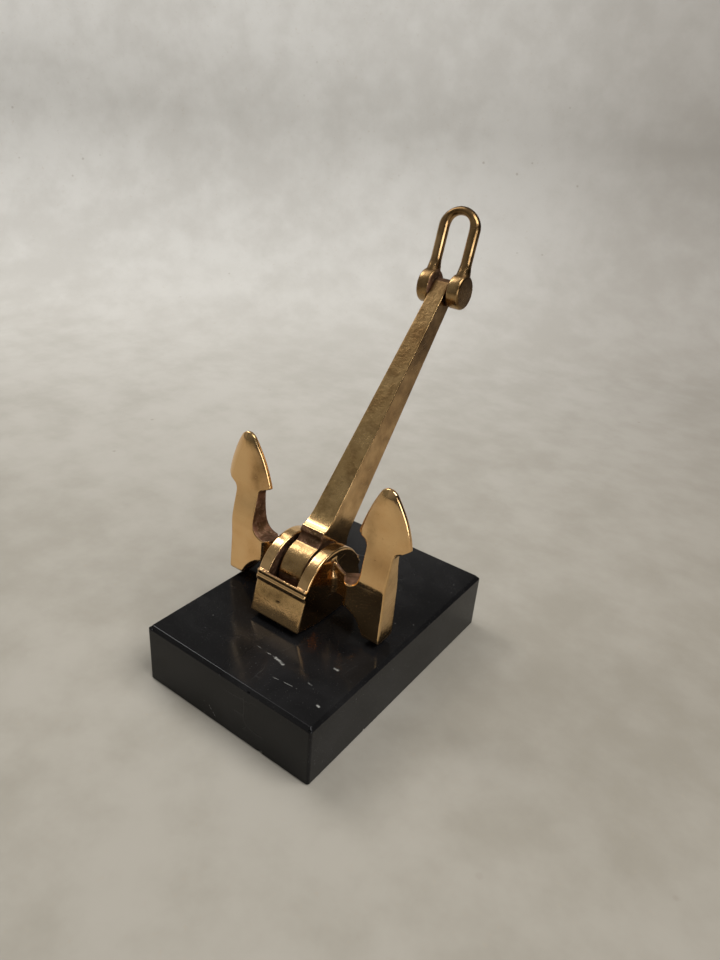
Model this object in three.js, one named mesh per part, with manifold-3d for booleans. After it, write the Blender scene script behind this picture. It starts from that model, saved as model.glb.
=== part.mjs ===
// Stockless anchor ornament on a marble plinth.
// Millimetres, +Z up. Origin: centre of the plinth's underside.
// +X runs along the plinth's short side, +Y along its long side, towards the back.
// The anchor stands with its flukes upright and its shank leaning back on the crown's stop.

import * as THREE from 'three';
import { mergeVertices } from 'three/addons/utils/BufferGeometryUtils.js';
import Module from 'manifold-3d';

const wasm = await Module();
wasm.setup();

// ---------------------------------------------------------------- driving dimensions

const gap = 0.3; // left between two pieces that meet

const plinth = { width: 62, length: 90, height: 20, chamfer: 1, cornerRadius: 0.8 };

// The anchor's middle plane lies a little to the left of the plinth's centre.
const anchor = { x: -3.3, y: -5.5, pinHeight: 33, shankLean: 38.3, shackleLean: 14.6 };

// Crown block, as seen from its end: y from the middle of the head, z above the table.
const crown = {
  halfWidth: 9.3,
  footY: 15.9, footZ: 22.2,
  flatY: 6, flatZ: plinth.height + gap,
  shoulderY: 13.2, shoulderZ: 31.8,
  bandY: 13.5, bandZ: 34.2,
  ledgeY: 13.1, ledgeZ: 35.4,
  archRadius: 13.55, archZ: 29.6,
};

const slot = { halfWidth: 5.4, upperY: 12.4, lowerY: 10.4, stepZ: 29 };

// Flukes and arms: one plate, the same on both sides of the middle plane.
const fluke = {
  thickness: 7.2,
  rootX: 6.5,
  armBottom: 29.6, armTop: 37, notchFoot: 40.4,
  outerX: 29.5, innerX: 20.5,
  toeInnerX: 25, toeOuterX: 27.4, toeZ: plinth.height + gap, toeRise: 3.2,
  outerBarb: [34, 53.8], innerBarb: [16.6, 53.4],
  tip: [25.5, 70.1], tipHalf: 2.2, tipDrop: 1,
  // Where straight runs end, and the points that their curves are pulled towards.
  armUnder: [16, 29.4], underPull: [21.8, 28.6], toePull: [23.6, 22.2],
  outerNeckZ: 49.2, outerNeckPull: [29.6, 51.1], outerBarbFoot: [31.2, 51.9], outerPull: [32.6, 61.5],
  innerPull: [18.9, 61.4], innerBarbFoot: [19, 52.6], innerNeckPull: [20.5, 51.9], innerNeckZ: 50,
  notchWall: [20.6, 42.2], notchCornerPull: [20.4, 37.1], notchFloorX: 15.8, notchRisePull: 12.6,
  bevelInset: 3, bevelEdge: 1.6, bevelSpill: 2.5, bevelShift: 0.8, bevelOverrun: 4,
  // The plate is thinner above the notch: its front face leans back, its rear one a little forward.
  leanFrom: 38.5, leanTo: 54, palmFront: -0.85, palmBack: 2.85,
};

const crownPin = { radius: 2.8, halfLength: 7.5, bore: 3.1 };

const keeper = { halfX: 7.5, halfY: 10.1, top: 22.6, postX: 5.7, postHalfY: 2.8, postTop: 29.7 };

const screw = {
  offsetY: 12.5, radius: 1.25, tipZ: 27.7,
  headRadius: 2.3, headBottom: 4.6, headTop: 6.7, driveWidth: 0.7, driveDepth: 0.9,
  holeRadius: 1.7, counterbore: 3.6, counterboreTop: 8, tapRadius: 1.55, tapTop: 28,
};

const washer = { outer: 3, inner: 1.55, bottom: 7, top: 7.7 };

// Shank: distances along it are measured from the crown pin.
const shank = {
  length: 97,
  footWidth: 8.2, footThickness: 11.7, footAt: 14,
  tipWidth: 5.4, tipThickness: 6, tipShift: 0.8,
  lipHalf: 7.9, lipTop: 11.2, lipBottom: 9.5,
  neckHalf: 6.9, neckAt: 9,
  drumRadius: 9.5,
};

// The shackle stands a little to the right of the head's middle plane.
const shackle = {
  shift: 0.95,
  legX: 5.4, barRadius: 1.75, legLength: 18.4,
  eyeHeight: 5.35, eyeWidth: 5.2, eyeInner: 3.15, eyeOuter: 7.6,
  collarRadius: 2.2, collarFrom: 3.6, collarTo: 7.6,
  pinRadius: 1.6, pinHalf: 7.1, bore: 1.9, boreHalf: 7.3,
};

// ---------------------------------------------------------------- materials

const brass = new THREE.MeshStandardMaterial({ color: 0xb98f4e, roughness: 0.25, metalness: 1 });
const dullBrass = new THREE.MeshStandardMaterial({ color: 0x8a7340, roughness: 0.4, metalness: 1 });
const steel = new THREE.MeshStandardMaterial({ color: 0x9a9a98, roughness: 0.35, metalness: 1 });
const marble = new THREE.MeshStandardMaterial({ color: 0x17171a, roughness: 0.12, metalness: 0 });

// ---------------------------------------------------------------- solids from three.js shapes

function solid(geometry) {
  const bare = geometry.index ? geometry.toNonIndexed() : geometry.clone();
  bare.deleteAttribute('normal');
  bare.deleteAttribute('uv');
  const merged = mergeVertices(bare, 1e-4);
  return new wasm.Manifold(new wasm.Mesh({
    numProp: 3,
    vertProperties: new Float32Array(merged.attributes.position.array),
    triVerts: new Uint32Array(merged.index.array),
  }));
}

function named(name, body, material) {
  const { vertProperties, triVerts } = body.getMesh();
  const geometry = new THREE.BufferGeometry();
  geometry.setAttribute('position', new THREE.BufferAttribute(vertProperties.slice(), 3));
  geometry.setIndex(new THREE.BufferAttribute(triVerts.slice(), 1));
  geometry.computeVertexNormals();
  const mesh = new THREE.Mesh(geometry, material);
  mesh.name = name;
  return mesh;
}

const degrees = THREE.MathUtils.degToRad;

function polygon(points) {
  return new THREE.Shape(points.map(([a, b]) => new THREE.Vector2(a, b)));
}

function extruded(shape, depth, curveSegments = 12) {
  return new THREE.ExtrudeGeometry(shape, { depth, curveSegments, bevelEnabled: false });
}

// A shape drawn in y and z, extruded along x from x0 to x1.
function alongX(shape, x0, x1, curveSegments) {
  const place = new THREE.Matrix4().set(
    0, 0, 1, x0,
    1, 0, 0, 0,
    0, 1, 0, 0,
    0, 0, 0, 1,
  );
  return solid(extruded(shape, x1 - x0, curveSegments).applyMatrix4(place));
}

// A shape drawn in x and z, extruded along y from y0 to y1.
function alongY(shape, y0, y1, curveSegments) {
  const place = new THREE.Matrix4().set(
    1, 0, 0, 0,
    0, 0, -1, y1,
    0, 1, 0, 0,
    0, 0, 0, 1,
  );
  return solid(extruded(shape, y1 - y0, curveSegments).applyMatrix4(place));
}

function box(x0, x1, y0, y1, z0, z1) {
  const geometry = new THREE.BoxGeometry(x1 - x0, y1 - y0, z1 - z0);
  return solid(geometry.translate((x0 + x1) / 2, (y0 + y1) / 2, (z0 + z1) / 2));
}

function rodX(radius, x0, x1, y = 0, z = 0, sides = 32) {
  const geometry = new THREE.CylinderGeometry(radius, radius, x1 - x0, sides).rotateZ(Math.PI / 2);
  return solid(geometry.translate((x0 + x1) / 2, y, z));
}

function rodZ(radius, z0, z1, x = 0, y = 0, sides = 24) {
  const geometry = new THREE.CylinderGeometry(radius, radius, z1 - z0, sides).rotateX(Math.PI / 2);
  return solid(geometry.translate(x, y, (z0 + z1) / 2));
}

// ---------------------------------------------------------------- plinth and its fixings

const screwPlaces = { front: anchor.y - screw.offsetY, rear: anchor.y + screw.offsetY };

function makePlinth() {
  const { width, length, height, chamfer, cornerRadius: r } = plinth;
  const [hx, hy] = [width / 2 - chamfer, length / 2 - chamfer];
  const outline = new THREE.Shape();
  outline.moveTo(-hx + r, -hy);
  outline.lineTo(hx - r, -hy);
  outline.absarc(hx - r, -hy + r, r, -Math.PI / 2, 0);
  outline.lineTo(hx, hy - r);
  outline.absarc(hx - r, hy - r, r, 0, Math.PI / 2);
  outline.lineTo(-hx + r, hy);
  outline.absarc(-hx + r, hy - r, r, Math.PI / 2, Math.PI);
  outline.lineTo(-hx, -hy + r);
  outline.absarc(-hx + r, -hy + r, r, Math.PI, Math.PI * 1.5);
  const slab = new THREE.ExtrudeGeometry(outline, {
    depth: height, curveSegments: 3,
    bevelThickness: chamfer, bevelSize: chamfer, bevelSegments: 1,
  }).translate(0, 0, -chamfer);
  let body = solid(slab).subtract(box(-width, width, -length, length, -10, 0));
  for (const y of Object.values(screwPlaces)) {
    body = body
      .subtract(rodZ(screw.holeRadius, -1, height + 1, anchor.x, y))
      .subtract(rodZ(screw.counterbore, -1, screw.counterboreTop, anchor.x, y));
  }
  return named('marble_base', body, marble);
}

function makeScrew(place, y) {
  const drive = screw.driveWidth / 2;
  const body = rodZ(screw.radius, screw.headTop - 0.5, screw.tipZ, 0, 0, 16)
    .add(rodZ(screw.headRadius, screw.headBottom, screw.headTop))
    .subtract(box(-drive, drive, -4, 4, 0, screw.headBottom + screw.driveDepth));
  const mesh = named(`base_screw_${place}`, body, steel);
  mesh.position.set(anchor.x, y, 0);
  return mesh;
}

function makeWasher(place, y) {
  const ring = new THREE.LatheGeometry([
    new THREE.Vector2(washer.inner, washer.bottom),
    new THREE.Vector2(washer.outer, washer.bottom),
    new THREE.Vector2(washer.outer, washer.top),
    new THREE.Vector2(washer.inner, washer.top),
    new THREE.Vector2(washer.inner, washer.bottom),
  ], 24).rotateX(Math.PI / 2);
  const mesh = named(`base_washer_${place}`, solid(ring), steel);
  mesh.position.set(anchor.x, y, 0);
  return mesh;
}

// ---------------------------------------------------------------- head: crown, arms and flukes

// The crown's end view: a sloping block, a raised band, a ledge and an arched top.
function crownOutline() {
  const c = crown;
  const archFoot = Math.sqrt(c.archRadius ** 2 - (c.ledgeZ - c.archZ) ** 2);
  const archEnd = Math.atan2(c.ledgeZ - c.archZ, archFoot);
  const outline = new THREE.Shape();
  outline.moveTo(-c.flatY, c.flatZ);
  outline.lineTo(c.flatY, c.flatZ);
  outline.lineTo(c.footY, c.footZ);
  outline.lineTo(c.shoulderY, c.shoulderZ);
  outline.lineTo(c.bandY, c.shoulderZ);
  outline.lineTo(c.bandY, c.bandZ);
  outline.lineTo(c.ledgeY, c.bandZ);
  outline.lineTo(c.ledgeY, c.ledgeZ);
  outline.lineTo(archFoot, c.ledgeZ);
  outline.absarc(0, c.archZ, c.archRadius, archEnd, Math.PI - archEnd);
  outline.lineTo(-c.ledgeY, c.ledgeZ);
  outline.lineTo(-c.ledgeY, c.bandZ);
  outline.lineTo(-c.bandY, c.bandZ);
  outline.lineTo(-c.bandY, c.shoulderZ);
  outline.lineTo(-c.shoulderY, c.shoulderZ);
  outline.lineTo(-c.footY, c.footZ);
  return outline;
}

// Arm and fluke of the right side, seen from the front.
function flukeOutline() {
  const f = fluke;
  const [tipX, tipZ] = f.tip;
  const outline = new THREE.Shape();
  outline.moveTo(f.rootX, f.armBottom);
  outline.lineTo(...f.armUnder);
  outline.bezierCurveTo(...f.underPull, ...f.toePull, f.toeInnerX, f.toeZ);
  outline.lineTo(f.toeOuterX, f.toeZ);
  outline.quadraticCurveTo(f.outerX, f.toeZ, f.outerX, f.toeZ + f.toeRise);
  outline.lineTo(f.outerX, f.outerNeckZ);
  outline.quadraticCurveTo(...f.outerNeckPull, ...f.outerBarbFoot);
  outline.lineTo(...f.outerBarb);
  outline.quadraticCurveTo(...f.outerPull, tipX + f.tipHalf, tipZ - f.tipDrop);
  outline.quadraticCurveTo(tipX, tipZ + f.tipDrop, tipX - f.tipHalf, tipZ - f.tipDrop);
  outline.quadraticCurveTo(...f.innerPull, ...f.innerBarb);
  outline.lineTo(...f.innerBarbFoot);
  outline.quadraticCurveTo(...f.innerNeckPull, f.innerX, f.innerNeckZ);
  outline.lineTo(...f.notchWall);
  outline.quadraticCurveTo(...f.notchCornerPull, f.notchFloorX, f.armTop);
  outline.quadraticCurveTo(f.notchRisePull, f.armTop, crown.halfWidth, f.notchFoot);
  outline.lineTo(f.rootX, f.notchFoot);
  return outline;
}

// What a palm's bevel takes off along one edge, on one face: a wedge that follows the
// edge between two points of the outline and is deepest at the edge itself.
function bevelWedge([fromX, fromZ], [toX, toZ], side, face) {
  const f = fluke;
  const run = Math.hypot(toX - fromX, toZ - fromZ);
  const tilt = Math.atan2(toX - fromX, toZ - fromZ);
  const [half, edge] = [(f.palmBack - f.palmFront) / 2, f.bevelEdge / 2];
  const middle = (f.palmBack + f.palmFront) / 2;
  const slope = (half - edge) / f.bevelInset;
  const section = polygon([
    [-side * f.bevelInset, half * face],
    [side * f.bevelSpill, (edge - f.bevelSpill * slope) * face],
    [side * f.bevelSpill, f.thickness * face],
    [-side * f.bevelInset, f.thickness * face],
  ]);
  const wedge = extruded(section, run + 2 * f.bevelOverrun);
  wedge.translate(side * f.bevelShift, 0, -f.bevelOverrun).rotateY(tilt);
  return solid(wedge.translate(fromX, middle, fromZ));
}

// What the lean takes off one face of the plate, seen from the plate's end.
function leanCut(plateY, palmY) {
  const f = fluke;
  const outside = Math.sign(plateY) * f.thickness;
  const third = (f.leanTo - f.leanFrom) / 3;
  const above = f.tip[1] + f.thickness;
  const outline = new THREE.Shape();
  outline.moveTo(plateY, f.leanFrom);
  outline.bezierCurveTo(plateY, f.leanFrom + third, palmY, f.leanTo - third, palmY, f.leanTo);
  outline.lineTo(palmY, above);
  outline.lineTo(outside, above);
  outline.lineTo(outside, f.leanFrom);
  const far = f.outerBarb[0] + f.thickness;
  return alongX(outline, 0, far, 8);
}

// The right arm and fluke, bevelled on both faces along the palm's sides and tip.
function makeFluke() {
  const f = fluke;
  const half = f.thickness / 2;
  const outerTip = [f.tip[0] + f.tipHalf, f.tip[1] - f.tipDrop];
  const innerTip = [f.tip[0] - f.tipHalf, f.tip[1] - f.tipDrop];
  let side = alongY(flukeOutline(), -half, half, 8)
    .subtract(leanCut(-half, f.palmFront))
    .subtract(leanCut(half, f.palmBack));
  for (const face of [-1, 1]) {
    side = side
      .subtract(bevelWedge(f.outerBarb, outerTip, 1, face))
      .subtract(bevelWedge(f.innerBarb, innerTip, -1, face))
      .subtract(bevelWedge(innerTip, outerTip, -1, face));
  }
  return side;
}

function makeHead() {
  const side = makeFluke();
  const c = crown;
  const wall = slot.halfWidth;
  const pocket = new THREE.Shape();
  pocket.moveTo(-crownPin.bore, 0);
  pocket.lineTo(crownPin.bore, 0);
  pocket.lineTo(crownPin.bore, anchor.pinHeight);
  pocket.absarc(0, anchor.pinHeight, crownPin.bore, 0, Math.PI);
  const pocketX = crownPin.halfLength + gap;
  const recessY = keeper.halfY + gap;
  let body = alongX(crownOutline(), -c.halfWidth, c.halfWidth, 28)
    .add(side)
    .add(side.mirror([1, 0, 0]))
    .subtract(box(-wall, wall, -slot.upperY, slot.upperY, slot.stepZ, 60))
    .subtract(box(-wall, wall, -slot.lowerY, slot.lowerY, 0, slot.stepZ + 1))
    .subtract(alongX(pocket, -pocketX, pocketX))
    .subtract(box(-pocketX, pocketX, -recessY, recessY, 0, keeper.top + gap));
  for (const y of [-screw.offsetY, screw.offsetY]) {
    body = body.subtract(rodZ(screw.tapRadius, 0, screw.tapTop, 0, y, 16));
  }
  return named('anchor_head', body, brass);
}

// Keeper: closes the crown from below and carries the crown pin on two posts.
function makeKeeper() {
  const k = keeper;
  const bottom = plinth.height + gap;
  const post = box(k.postX, k.halfX, -k.postHalfY, k.postHalfY, k.top - 1, k.postTop);
  const body = box(-k.halfX, k.halfX, -k.halfY, k.halfY, bottom, k.top)
    .add(post)
    .add(post.mirror([1, 0, 0]));
  return named('keeper_block', body, dullBrass);
}

function makeCrownPin() {
  const { radius, halfLength } = crownPin;
  const mesh = named('crown_pin', rodX(radius, -halfLength, halfLength), dullBrass);
  mesh.position.z = anchor.pinHeight;
  return mesh;
}

// ---------------------------------------------------------------- shank

// Side view: z runs along the shank from the crown pin, y across it.
function shankSide() {
  const s = shank;
  const drumEnd = Math.sqrt(s.drumRadius ** 2 - s.neckHalf ** 2);
  const drumAngle = Math.atan2(drumEnd, s.neckHalf);
  const outline = new THREE.Shape();
  outline.moveTo(s.neckHalf, drumEnd);
  outline.lineTo(s.neckHalf, s.neckAt);
  outline.lineTo(s.lipHalf, s.lipBottom);
  outline.lineTo(s.lipHalf, s.lipTop);
  outline.quadraticCurveTo(s.footThickness / 2 + 0.3, s.lipTop + 0.6, s.footThickness / 2, s.footAt + 1);
  outline.lineTo(s.tipThickness / 2, s.length);
  outline.absarc(0, s.length, s.tipThickness / 2, 0, Math.PI);
  outline.lineTo(-s.footThickness / 2, s.footAt + 1);
  outline.quadraticCurveTo(-s.footThickness / 2 - 0.3, s.lipTop + 0.6, -s.lipHalf, s.lipTop);
  outline.lineTo(-s.lipHalf, s.lipBottom);
  outline.lineTo(-s.neckHalf, s.neckAt);
  outline.lineTo(-s.neckHalf, drumEnd);
  outline.absarc(0, 0, s.drumRadius, Math.PI - drumAngle, Math.PI * 2 + drumAngle);
  return outline;
}

// Front view: the shank narrows evenly from its foot to its tip, which is slightly to the right.
function shankFront() {
  const s = shank;
  const [foot, tip] = [s.footWidth / 2, s.tipWidth / 2];
  const end = s.length + s.tipThickness;
  return polygon([
    [-foot, -s.drumRadius - 1], [foot, -s.drumRadius - 1],
    [foot, s.footAt], [s.tipShift + tip, s.length], [s.tipShift + tip, end],
    [s.tipShift - tip, end], [s.tipShift - tip, s.length], [-foot, s.footAt],
  ]);
}

function makeShank() {
  const body = alongX(shankSide(), -shank.footWidth, shank.footWidth, 20)
    .intersect(alongY(shankFront(), -20, 20))
    .subtract(rodX(crownPin.bore, -20, 20))
    .subtract(rodX(shackle.bore, -20, 20, 0, shank.length, 24));
  return named('shank', body, brass);
}

// ---------------------------------------------------------------- shackle

function bowPath() {
  const { legX, legLength, collarFrom } = shackle;
  const path = new THREE.CurvePath();
  const at = (x, z) => new THREE.Vector3(x, 0, z);
  const arc = [];
  const steps = 24;
  for (let i = 0; i <= steps; i++) {
    const turn = Math.PI * (i / steps);
    arc.push(at(-legX * Math.cos(turn), legLength + legX * Math.sin(turn)));
  }
  path.add(new THREE.LineCurve3(at(-legX, collarFrom), arc[0]));
  for (let i = 0; i < steps; i++) path.add(new THREE.LineCurve3(arc[i], arc[i + 1]));
  path.add(new THREE.LineCurve3(arc[steps], at(legX, collarFrom)));
  return path;
}

function makeBow() {
  const s = shackle;
  const section = new THREE.Shape();
  section.absarc(0, 0, s.barRadius, 0, Math.PI * 2);
  const bar = new THREE.ExtrudeGeometry(section, { steps: 60, curveSegments: 7, extrudePath: bowPath() });
  let body = solid(bar);
  for (const side of [-1, 1]) {
    const height = s.collarTo - s.collarFrom;
    const collar = new THREE.CylinderGeometry(s.barRadius, s.collarRadius, height, 20)
      .rotateX(Math.PI / 2)
      .translate(side * s.legX, 0, (s.collarFrom + s.collarTo) / 2);
    const [x0, x1] = side > 0 ? [s.eyeInner, s.eyeOuter] : [-s.eyeOuter, -s.eyeInner];
    const eye = rodX(s.eyeHeight, x0, x1, 0, 0, 40).scale([1, s.eyeWidth / s.eyeHeight, 1]);
    body = body.add(solid(collar)).add(eye);
  }
  body = body
    .subtract(box(-s.eyeInner, s.eyeInner, -9, 9, -9, s.collarTo - 2))
    .subtract(rodX(s.bore, -s.boreHalf, s.boreHalf, 0, 0, 24));
  return named('shackle_bow', body, brass);
}

function makeShacklePin() {
  const { pinRadius, pinHalf } = shackle;
  return named('shackle_pin', rodX(pinRadius, -pinHalf, pinHalf, 0, 0, 24), dullBrass);
}

// ---------------------------------------------------------------- assembly

const model = new THREE.Group();
model.add(makePlinth());
for (const [place, y] of Object.entries(screwPlaces)) {
  model.add(makeScrew(place, y), makeWasher(place, y));
}

const head = new THREE.Group();
head.position.set(anchor.x, anchor.y, 0);
head.add(makeHead(), makeKeeper(), makeCrownPin());
model.add(head);

const lean = new THREE.Group();
lean.position.z = anchor.pinHeight;
lean.rotation.x = -degrees(anchor.shankLean);
lean.add(makeShank());
head.add(lean);

const swing = new THREE.Group();
swing.position.set(shackle.shift, 0, shank.length);
swing.rotation.x = degrees(anchor.shankLean - anchor.shackleLean);
swing.add(makeBow(), makeShacklePin());
lean.add(swing);

export default model;
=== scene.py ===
import math
import bpy
import numpy as np
from mathutils import Matrix


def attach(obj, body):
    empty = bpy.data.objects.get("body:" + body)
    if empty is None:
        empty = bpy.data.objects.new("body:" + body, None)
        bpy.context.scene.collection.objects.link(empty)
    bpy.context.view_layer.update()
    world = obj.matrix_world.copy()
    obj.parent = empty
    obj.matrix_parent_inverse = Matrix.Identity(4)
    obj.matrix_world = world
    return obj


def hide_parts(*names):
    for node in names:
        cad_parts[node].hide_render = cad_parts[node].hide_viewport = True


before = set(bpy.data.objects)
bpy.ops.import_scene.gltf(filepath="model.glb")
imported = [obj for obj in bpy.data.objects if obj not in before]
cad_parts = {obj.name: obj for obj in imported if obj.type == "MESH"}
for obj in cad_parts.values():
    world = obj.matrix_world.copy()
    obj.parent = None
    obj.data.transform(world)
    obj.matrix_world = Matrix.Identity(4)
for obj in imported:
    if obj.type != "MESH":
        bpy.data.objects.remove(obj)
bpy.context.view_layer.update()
mm = 0.001

# Where the anchor stands on its plinth, in millimetres, and how its shank and shackle lean, in degrees
anchorPlace = {"x": -3.3, "y": -5.5, "pinHeight": 33.0, "shankLean": 38.3, "shackleLean": 14.6}


class Wire:
    # one output socket; sums on wires add Math nodes to its tree
    def __init__(self, tree, socket):
        self.tree = tree
        self.socket = socket

    def maths(self, operation, *others, clamp=False):
        node = self.tree.nodes.new("ShaderNodeMath")
        node.operation = operation
        node.use_clamp = clamp
        for slot, value in zip(node.inputs, (self,) + others):
            plug(self.tree, slot, value)
        return Wire(self.tree, node.outputs[0])

    def __add__(self, other): return self.maths("ADD", other)
    def __radd__(self, other): return self.maths("ADD", other)
    def __sub__(self, other): return self.maths("SUBTRACT", other)
    def __rsub__(self, other): return number(self.tree, other).maths("SUBTRACT", self)
    def __mul__(self, other): return self.maths("MULTIPLY", other)
    def __rmul__(self, other): return self.maths("MULTIPLY", other)
    def __truediv__(self, other): return self.maths("DIVIDE", other)
    def clamped(self): return self.maths("ADD", 0.0, clamp=True)
    def low(self, other): return self.maths("MINIMUM", other)
    def high(self, other): return self.maths("MAXIMUM", other)

    def rise(self, start, end):
        # 0 below start, 1 above end, smooth between them
        return addNode(self.tree, "ShaderNodeMapRange", {"interpolation_type": "SMOOTHSTEP", "clamp": True},
                       {"Value": self, "From Min": start, "From Max": end})


def plug(tree, slot, value):
    if isinstance(value, Wire):
        tree.links.new(value.socket, slot)
    else:
        slot.default_value = value


def number(tree, value):
    node = tree.nodes.new("ShaderNodeValue")
    node.outputs[0].default_value = value
    return Wire(tree, node.outputs[0])


def addNode(tree, kind, settings=None, sockets=None, out=0):
    node = tree.nodes.new(kind)
    for name, value in (settings or {}).items():
        setattr(node, name, value)
    for name, value in (sockets or {}).items():
        plug(tree, node.inputs[name], value)
    return Wire(tree, node.outputs[out])


def vectorMaths(tree, operation, first, second, out=0):
    return addNode(tree, "ShaderNodeVectorMath", {"operation": operation}, {0: first, 1: second}, out)


def scaledVector(tree, vector, amount):
    return addNode(tree, "ShaderNodeVectorMath", {"operation": "SCALE"}, {0: vector, "Scale": amount})


def mixColour(tree, share, first, second):
    return addNode(tree, "ShaderNodeMix", {"data_type": "RGBA", "blend_type": "MIX", "clamp_factor": True},
                   {0: share, 6: first, 7: second}, out=2)


# Materials

def newMaterial(name):
    material = bpy.data.materials.new(name)
    material.use_nodes = True
    tree = material.node_tree
    tree.nodes.clear()
    return material, tree


def finishSurface(tree, sockets):
    shader = addNode(tree, "ShaderNodeBsdfPrincipled", None, sockets)
    output = tree.nodes.new("ShaderNodeOutputMaterial")
    tree.links.new(shader.socket, output.inputs["Surface"])


def objectPlace(tree, scale=(1, 1, 1), turn=(0, 0, 0)):
    place = addNode(tree, "ShaderNodeTexCoord", out=3)
    return addNode(tree, "ShaderNodeMapping", {"vector_type": "TEXTURE"},
                   {"Vector": place, "Rotation": turn, "Scale": tuple(1 / s for s in scale)})


def noise(tree, where, scale, detail=3.0, roughness=0.5, distortion=0.0):
    return addNode(tree, "ShaderNodeTexNoise", {"noise_dimensions": "3D"},
                   {"Vector": where, "Scale": scale, "Detail": detail, "Roughness": roughness,
                    "Distortion": distortion})


def painted(tree, name):
    return addNode(tree, "ShaderNodeAttribute", {"attribute_name": name}, out=2)


# The browned colour is brown tarnish on the head, and on the shank and the shackle also painted shade.
brassLook = {
    "polished": (0.88, 0.578, 0.280, 1), "warm": (0.82, 0.495, 0.220, 1), "olive": (0.44, 0.31, 0.13, 1),
    "brownAndShade": (0.155, 0.088, 0.034, 1), "cast": (0.22, 0.118, 0.074, 1), "tarnish": (0.10, 0.055, 0.028, 1),
    "polishedRoughness": 0.115, "dullRoughness": 0.33, "castRoughness": 0.58,
}


def makeBrass(name, look):
    material, tree = newMaterial(name)
    plain = objectPlace(tree)
    raw = painted(tree, "rawCast")
    dullAndShadeMask = painted(tree, "dullAndShade")
    crevice = painted(tree, "crevice")
    brown = painted(tree, "brownAndShade")

    cloud = noise(tree, plain, 90, 3, 0.55)
    blotch = noise(tree, plain, 260, 4, 0.65)
    fine = noise(tree, plain, 900, 4, 0.6)
    grit = noise(tree, plain, 2200, 3, 0.6)
    rubbed = noise(tree, objectPlace(tree, (1, 0.16, 1)), 2600, 2, 0.5)
    scratch = noise(tree, objectPlace(tree, (1, 0.05, 1), (0.4, 0.7, 0.2)), 1500, 2, 0.5)
    hairline = scratch.rise(0.665, 0.70)
    pits = addNode(tree, "ShaderNodeTexVoronoi", {"feature": "F1"}, {"Vector": plain, "Scale": 520.0})
    pit = (1 - pits.rise(0.05, 0.12)) * cloud.rise(0.56, 0.66)

    rawEdge = (raw + (fine - 0.5) * 0.9).rise(0.38, 0.62)
    dullAndShadeEdge = (dullAndShadeMask + (cloud - 0.5) * 0.9 + (fine - 0.5) * 0.35).clamped()
    # darkening in hollows and joints: tarnish there, together with painted shade, since the crevice paint
    # measures how enclosed each point is
    tarnishAndHollowShade = (crevice * 1.25 + (fine - 0.5) * 0.5 - 0.12).clamped()

    colour = mixColour(tree, cloud.rise(0.35, 0.7), look["polished"], look["warm"])
    # dulled and browned paint: dull finish and brown tarnish, and on the shank and the shackle also painted
    # shade and a painted dark reflection
    brownEdge = (brown + ((cloud - 0.5) * 0.9 + (blotch - 0.5) * 0.7) * (brown * 4).clamped()).clamped()
    colour = mixColour(tree, dullAndShadeEdge * 0.85, colour, look["olive"])
    colour = mixColour(tree, dullAndShadeEdge * blotch.rise(0.45, 0.68) * 0.5, colour, look["brownAndShade"])
    colour = mixColour(tree, brownEdge, colour, look["brownAndShade"])
    castColour = mixColour(tree, blotch.rise(0.38, 0.62), look["tarnish"], look["cast"])
    castColour = mixColour(tree, fine.rise(0.52, 0.66) * 0.5, castColour, (0.42, 0.27, 0.17, 1))
    colour = mixColour(tree, rawEdge, colour, castColour)
    # painted shade and tarnish in hollows and joints
    colour = mixColour(tree, tarnishAndHollowShade * 0.75, colour, look["tarnish"])
    colour = mixColour(tree, pit * 0.6, colour, look["tarnish"])

    rough = look["polishedRoughness"] + (cloud - 0.5) * 0.06 + (rubbed - 0.5) * 0.07 + hairline * 0.08
    rough = rough + dullAndShadeEdge * (look["dullRoughness"] - look["polishedRoughness"])
    rough = rough + (look["castRoughness"] - rough) * rawEdge
    rough = (rough + tarnishAndHollowShade * 0.2 + pit * 0.3 + brownEdge * 0.07).clamped()

    relief = (rubbed - 0.5) * (0.08 + 0.5 * dullAndShadeEdge) - hairline * 0.12 - pit * 0.8
    relief = relief + ((fine - 0.5) * 1.4 + (blotch - 0.5) * 1.2) * dullAndShadeEdge + (blotch - 0.5) * 0.25
    relief = relief + ((grit - 0.5) * 1.6 + (fine - 0.5) * 3.0 + (blotch - 0.5) * 3.0) * rawEdge
    relief = relief + (cloud - 0.5) * 0.6
    bump = addNode(tree, "ShaderNodeBump", None, {"Strength": 0.55, "Distance": 0.00012, "Height": relief})
    finishSurface(tree, {"Base Color": colour, "Metallic": 1.0, "Roughness": rough, "Normal": bump})
    return material


marbleLook = {
    "stone": (0.0065, 0.0063, 0.0066, 1), "cloud": (0.014, 0.0135, 0.014, 1), "vein": (0.36, 0.36, 0.34, 1),
    "roughness": 0.12,
    # short pale veins: both ends and half width, in millimetres
    "veins": [((-3.5, -30.3, 20), (9.4, -31.4, 20), 0.16), ((6.2, -31.0, 20), (9.8, -31.6, 20), 0.42),
              ((10.4, -36.9, 20), (18.5, -36.1, 20), 0.11), ((21.2, -23.6, 20), (22.6, -23.3, 20), 0.35),
              ((19.6, -32.4, 20), (20.9, -32.6, 20), 0.28), ((26.4, -37.3, 20), (27.2, -37.6, 20), 0.3),
              ((-6.6, -45, 6.0), (-3.4, -45, 1.8), 0.09), ((-19.5, -45, 13.6), (-17.8, -45, 12.2), 0.09)],
}


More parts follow.
